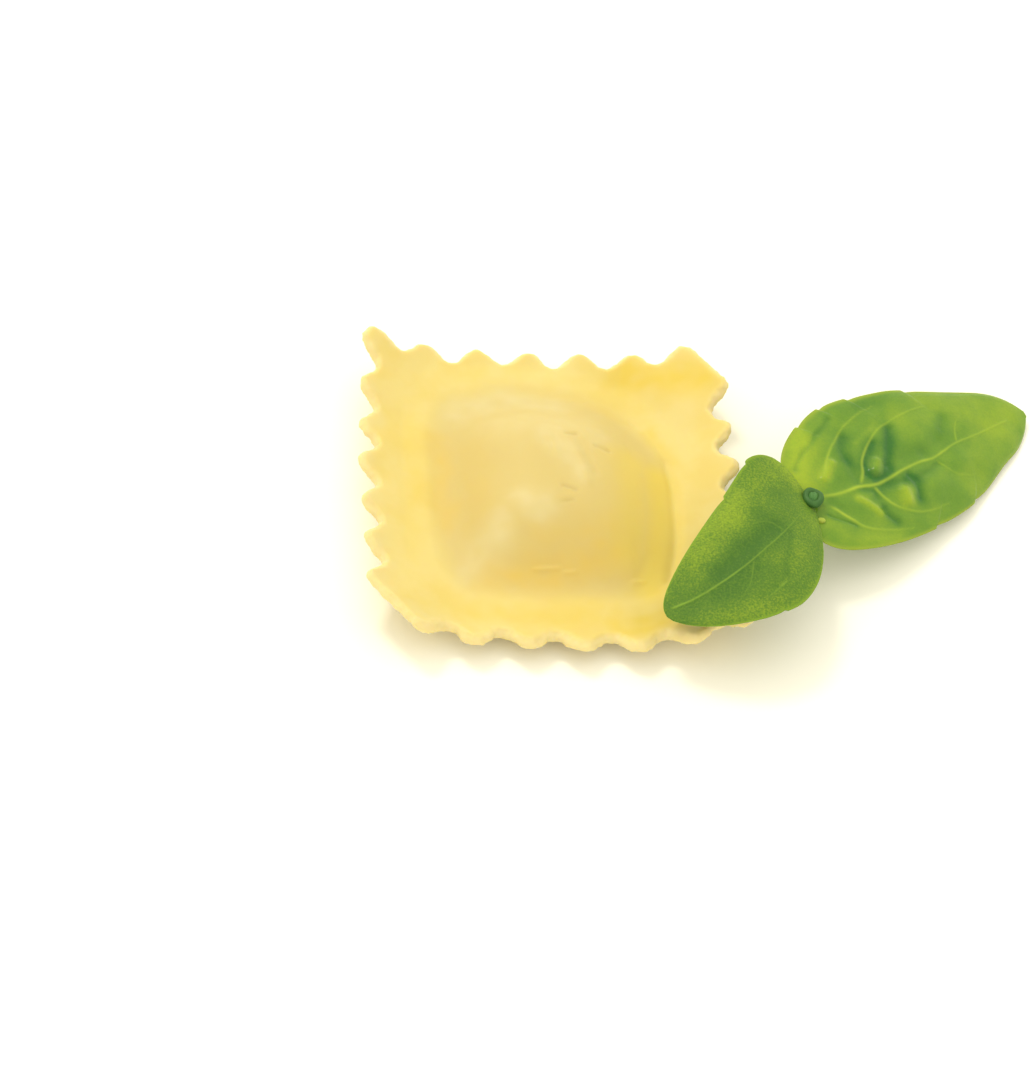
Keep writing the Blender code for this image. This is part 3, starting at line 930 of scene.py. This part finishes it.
def make_leaf_green(name, greens, roughness, coat, gloss, grain_depth, fleck_strength):
    """greens are hex values: the blade; its lightest tone, for pale patches and painted highlight; its
    darkest tone, for painted shade in the folds; veins, margin and underside.
    """
    plain, light, dark, veined, margin, under = (colour(value) for value in greens)
    material, shader = new_material(
        name,
        {
            "Roughness": roughness,
            "IOR": 1.42,
            "Specular IOR Level": gloss,
            "Coat Weight": coat,
            "Coat Roughness": 0.14,
            "Subsurface Weight": 0.25,
            "Subsurface Radius": (0.5, 1.0, 0.2),
            "Subsurface Scale": 0.5 * MM,
        },
    )
    place = add_node(material, "ShaderNodeTexCoord").outputs["Object"]
    patches = add_node(material, "ShaderNodeTexNoise", {"Scale": 1 / (5 * MM), "Detail": 4.0}, {"Vector": place})
    cells = add_node(material, "ShaderNodeTexVoronoi", {"Scale": 1 / (LEAF_CELL * MM)}, {"Vector": place})
    grain = add_node(
        material, "ShaderNodeTexNoise", {"Scale": 1 / (LEAF_CELL * MM), "Detail": 2.0}, {"Vector": place}
    )
    marks = {
        key: add_node(material, "ShaderNodeAttribute", {"attribute_name": key}).outputs["Fac"]
        for key in ("vein", "tone", "margin", "under")
    }
    drift = add_node(
        material,
        "ShaderNodeMapRange",
        {"From Min": 0.3, "From Max": 0.7, "To Min": -0.22, "To Max": 0.22},
        {"Value": patches.outputs["Fac"]},
    )
    fleck = add_node(
        material,
        "ShaderNodeMapRange",
        {"From Min": 0.3, "From Max": 0.7, "To Min": -fleck_strength, "To Max": fleck_strength},
        {"Value": grain.outputs["Fac"]},
    )
    uneven = add_node(material, "ShaderNodeMath", {"operation": "ADD"})
    toned = add_node(material, "ShaderNodeMath", {"operation": "ADD"}, {0: marks["tone"], 1: uneven.outputs[0]})
    material.node_tree.links.new(drift.outputs["Result"], uneven.inputs[0])
    material.node_tree.links.new(fleck.outputs["Result"], uneven.inputs[1])
    # Towards the paler green: pale patches, mottling and painted highlight; towards the deeper green: mottling and
    # painted shade.
    pale_mottle_and_painted_highlight = add_node(
        material, "ShaderNodeMapRange", {"From Min": 0.0, "From Max": 1.0}, {"Value": toned.outputs[0]}
    )
    dark_mottle_and_painted_shade = add_node(
        material, "ShaderNodeMapRange", {"From Min": 0.0, "From Max": -1.0}, {"Value": toned.outputs[0]}
    )
    layer = add_node(
        material, "ShaderNodeMixRGB", {"Color1": plain, "Color2": light}, {"Fac": pale_mottle_and_painted_highlight.outputs["Result"]}
    )
    for tint, share in (
        (dark, dark_mottle_and_painted_shade.outputs["Result"]),
        (margin, marks["margin"]),
        (under, marks["under"]),
        (veined, marks["vein"]),
    ):
        layer = add_node(
            material, "ShaderNodeMixRGB", {"Color2": tint}, {"Fac": share, "Color1": layer.outputs["Color"]}
        )
    bump = add_node(
        material,
        "ShaderNodeBump",
        {"Strength": 0.5, "Distance": grain_depth * MM},
        {"Height": cells.outputs["Distance"]},
    )
    material.node_tree.links.new(layer.outputs["Color"], shader.inputs["Base Color"])
    material.node_tree.links.new(bump.outputs["Normal"], shader.inputs["Normal"])
    return material


def make_young_green(name, tones, roughness):
    """The stem's or the bud's skin: two tones of green in fine streaks."""
    material, shader = new_material(name, {"Roughness": roughness, "IOR": 1.42, "Specular IOR Level": 0.3})
    place = add_node(material, "ShaderNodeTexCoord").outputs["Object"]
    streaks = add_node(material, "ShaderNodeTexNoise", {"Scale": 1 / (0.9 * MM), "Detail": 2.0}, {"Vector": place})
    tone = add_node(
        material,
        "ShaderNodeMixRGB",
        {"Color1": colour(tones[0]), "Color2": colour(tones[1])},
        {"Fac": streaks.outputs["Fac"]},
    )
    bump = add_node(
        material, "ShaderNodeBump", {"Strength": 0.4, "Distance": 0.06 * MM}, {"Height": streaks.outputs["Fac"]}
    )
    material.node_tree.links.new(tone.outputs["Color"], shader.inputs["Base Color"])
    material.node_tree.links.new(bump.outputs["Normal"], shader.inputs["Normal"])
    return material


small_leaf.data.materials.append(
    make_leaf_green(
        "basil_leaf_satin",
        ("587927", "839A2A", "426725", "7C9B34", "77912B", "7E915A"),
        0.65,
        0.0,
        0.2,
        0.08,
        0.50,
    )
)
large_leaf.data.materials.append(
    make_leaf_green(
        "basil_leaf_glossy",
        ("608520", "90A520", "2E6419", "94AA2A", "879926", "859860"),
        0.5,
        0.42,
        0.1,
        0.012,
        0.10,
    )
)
stem.data.materials.append(make_young_green("basil_stem_skin", ("698635", "86994A"), 0.5))
# The ring's dark green is partly painted shade, the shade round the growing tip.
bud_ring.data.materials.append(make_young_green("basil_bud_skin_and_painted_shade", ("2E5426", "456F30"), 0.5))
bud_heart.data.materials.append(make_young_green("basil_bud_heart_skin", ("35662F", "57833E"), 0.5))
side_bud.data.materials.append(make_young_green("basil_side_bud_skin", ("8B9F31", "A0AD46"), 0.5))
print("greens:", len(bpy.data.materials), "materials in all")

# %% [markdown]
# ## Floor and light
# The table is a matt cream board in a room with white walls, so that light comes from all sides. One
# large soft lamp from the left and behind makes the gentle shadows. The plain view transform keeps
# white at white.

# %% Build the floor and the light
FLOOR_SIZE = 6.0
LAMP_PLACE = (-0.40, 0.55, 1.15)
LAMP_SIZE = 0.36
LAMP_POWER = 5.5
SKY_STRENGTH = 1.32
WARM_WHITE = (1.0, 0.97, 0.85)


def make_floor():
    start_clean()
    bpy.ops.mesh.primitive_plane_add(size=FLOOR_SIZE)
    floor = bpy.context.object
    floor.name = "floor"
    material, _ = new_material("matt_cream_board", {"Base Color": colour("F7F5EC"), "Roughness": 0.9})
    floor.data.materials.append(material)


def make_light():
    lamp = bpy.data.objects.new("soft_lamp", bpy.data.lights.new("soft_lamp", "AREA"))
    lamp.data.shape = "DISK"
    lamp.data.size = LAMP_SIZE
    lamp.data.energy = LAMP_POWER
    lamp.data.color = WARM_WHITE
    lamp.location = LAMP_PLACE
    lamp.rotation_euler = Vector(LAMP_PLACE).to_track_quat("Z", "Y").to_euler()
    bpy.context.scene.collection.objects.link(lamp)
    world = bpy.data.worlds.new("white_room")
    world.use_nodes = True
    world.node_tree.nodes["Background"].inputs["Color"].default_value = (*WARM_WHITE, 1)
    world.node_tree.nodes["Background"].inputs["Strength"].default_value = SKY_STRENGTH
    bpy.context.scene.world = world
    bpy.context.scene.view_settings.view_transform = "Standard"


make_floor()
make_light()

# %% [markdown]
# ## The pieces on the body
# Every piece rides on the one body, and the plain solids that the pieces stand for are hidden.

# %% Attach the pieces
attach(raviolo, "root")
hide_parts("raviolo")
for piece in (small_leaf, large_leaf, stem, bud_ring, bud_heart, side_bud):
    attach(piece, "root")
    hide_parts("basil_sprig")
